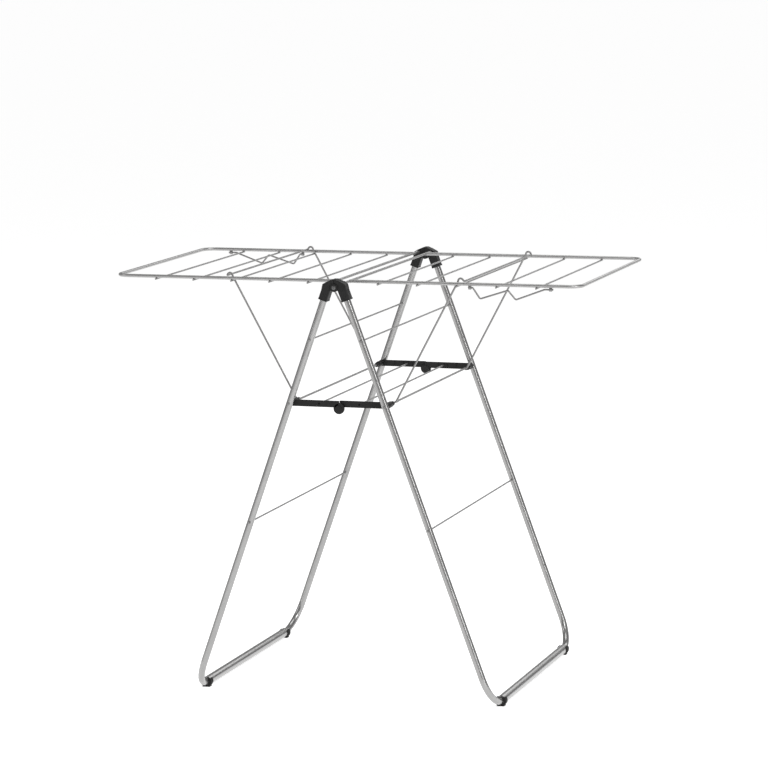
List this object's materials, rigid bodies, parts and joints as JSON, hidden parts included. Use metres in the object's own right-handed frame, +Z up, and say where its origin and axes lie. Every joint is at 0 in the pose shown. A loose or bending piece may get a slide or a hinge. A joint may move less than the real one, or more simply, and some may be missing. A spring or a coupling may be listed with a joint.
{
  "type": "clothes drying rack",
  "caption": "Free-standing winged clothes drying rack: two hinged leg frames, two fold-down wire wings on props, and folding braces with extra drying wires.",
  "frame": {"origin": "on the floor, midway between the four feet", "axes": "+X along the wings to the right wing, +Y from the front leg pair to the rear, +Z up"},
  "size_m": [1.132, 0.709, 0.9939],
  "materials": {
    "leg_tube": "satin metallic grey lacquer",
    "wing_tube": "satin metallic grey lacquer",
    "wire": "satin metallic grey lacquer",
    "pin_steel": "dark plated steel",
    "black_plastic": "fine moulded texture",
    "black_rubber": "matt"
  },
  "bodies": {
    "left_legs": {"hinge_pin_front": "pin_steel", "hinge_pin_rear": "pin_steel", "left_floor_bar": "leg_tube", "left_foot_front": "black_rubber", "left_foot_rear": "black_rubber", "left_hinge_cap_front": "black_plastic", "left_hinge_cap_rear": "black_plastic", "left_leg_front": "leg_tube", "left_leg_rear": "leg_tube", "left_lower_wire": "wire", "left_pivot_knobs": "black_plastic", "left_pivot_rod": "wire", "left_upper_wire": "wire"},
    "left_brace": {"knuckle_pin_front": "pin_steel", "knuckle_pin_rear": "pin_steel", "left_brace_front": "black_plastic", "left_brace_rear": "black_plastic", "left_grid_wire": "wire"},
    "left_bail": {"left_bail": "wire"},
    "left_wing": {"left_hanger_clips": "wire", "left_wing_axle": "wire", "left_wing_frame": "wing_tube", "left_wing_rod_1": "wire", "left_wing_rod_2": "wire", "left_wing_rod_3": "wire", "left_wing_rod_4": "wire", "left_wing_rod_5": "wire"},
    "left_hanger": {"left_hanger_wire": "wire"},
    "right_bail": {"right_bail": "wire"},
    "right_brace": {"right_brace_front": "black_plastic", "right_brace_rear": "black_plastic", "right_grid_wire": "wire"},
    "right_legs": {"right_floor_bar": "leg_tube", "right_foot_front": "black_rubber", "right_foot_rear": "black_rubber", "right_hinge_cap_front": "black_plastic", "right_hinge_cap_rear": "black_plastic", "right_leg_front": "leg_tube", "right_leg_rear": "leg_tube", "right_lower_wire": "wire", "right_pivot_knobs": "black_plastic", "right_pivot_rod": "wire", "right_upper_wire": "wire"},
    "right_wing": {"right_hanger_clips": "wire", "right_wing_axle": "wire", "right_wing_frame": "wing_tube", "right_wing_rod_1": "wire", "right_wing_rod_2": "wire", "right_wing_rod_3": "wire", "right_wing_rod_4": "wire", "right_wing_rod_5": "wire"},
    "right_hanger": {"right_hanger_wire": "wire"}
  },
  "joints": [
    {"name": "leg_fold", "type": "hinge", "parent": "left_legs", "child": "right_legs", "pos_m": [0, 0, 0.972], "axis": [0, 1, 0], "range_deg": [0, 38]},
    {"name": "left_brace_fold", "type": "hinge", "parent": "left_legs", "child": "left_brace", "pos_m": [-0.11581, 0, 0.7], "axis": [0, -1, 0], "range_deg": [0, 65.55]},
    {"name": "right_brace_fold", "type": "hinge", "parent": "right_legs", "child": "right_brace", "pos_m": [0.11581, 0, 0.7], "axis": [0, 1, 0], "range_deg": [0, 65.55]},
    {"name": "left_wing_fold", "type": "hinge", "parent": "left_legs", "child": "left_wing", "pos_m": [-0.016, 0, 0.98], "axis": [0, -1, 0], "range_deg": [0, 65]},
    {"name": "right_wing_fold", "type": "hinge", "parent": "right_legs", "child": "right_wing", "pos_m": [0.016, 0, 0.98], "axis": [0, 1, 0], "range_deg": [0, 65]},
    {"name": "left_bail_swing", "type": "hinge", "parent": "left_wing", "child": "left_bail", "pos_m": [-0.273, 0, 0.974], "axis": [0, 1, 0], "range_deg": [0, 115]},
    {"name": "right_bail_swing", "type": "hinge", "parent": "right_wing", "child": "right_bail", "pos_m": [0.273, 0, 0.974], "axis": [0, -1, 0], "range_deg": [0, 115]},
    {"name": "left_hanger_swing", "type": "hinge", "parent": "left_wing", "child": "left_hanger", "pos_m": [-0.4, 0.287, 0.972], "axis": [1, 0, 0], "range_deg": [0, 60]},
    {"name": "right_hanger_swing", "type": "hinge", "parent": "right_wing", "child": "right_hanger", "pos_m": [0.4, -0.287, 0.972], "axis": [-1, 0, 0], "range_deg": [0, 60]}
  ],
  "couplings": [
    {"joint": "left_brace_fold", "follows": "leg_fold", "ratio": 1.725},
    {"joint": "right_brace_fold", "follows": "leg_fold", "ratio": 1.725},
    {"joint": "left_bail_swing", "follows": "left_wing_fold", "ratio": 1.7692},
    {"joint": "right_bail_swing", "follows": "right_wing_fold", "ratio": 1.7692}
  ]
}
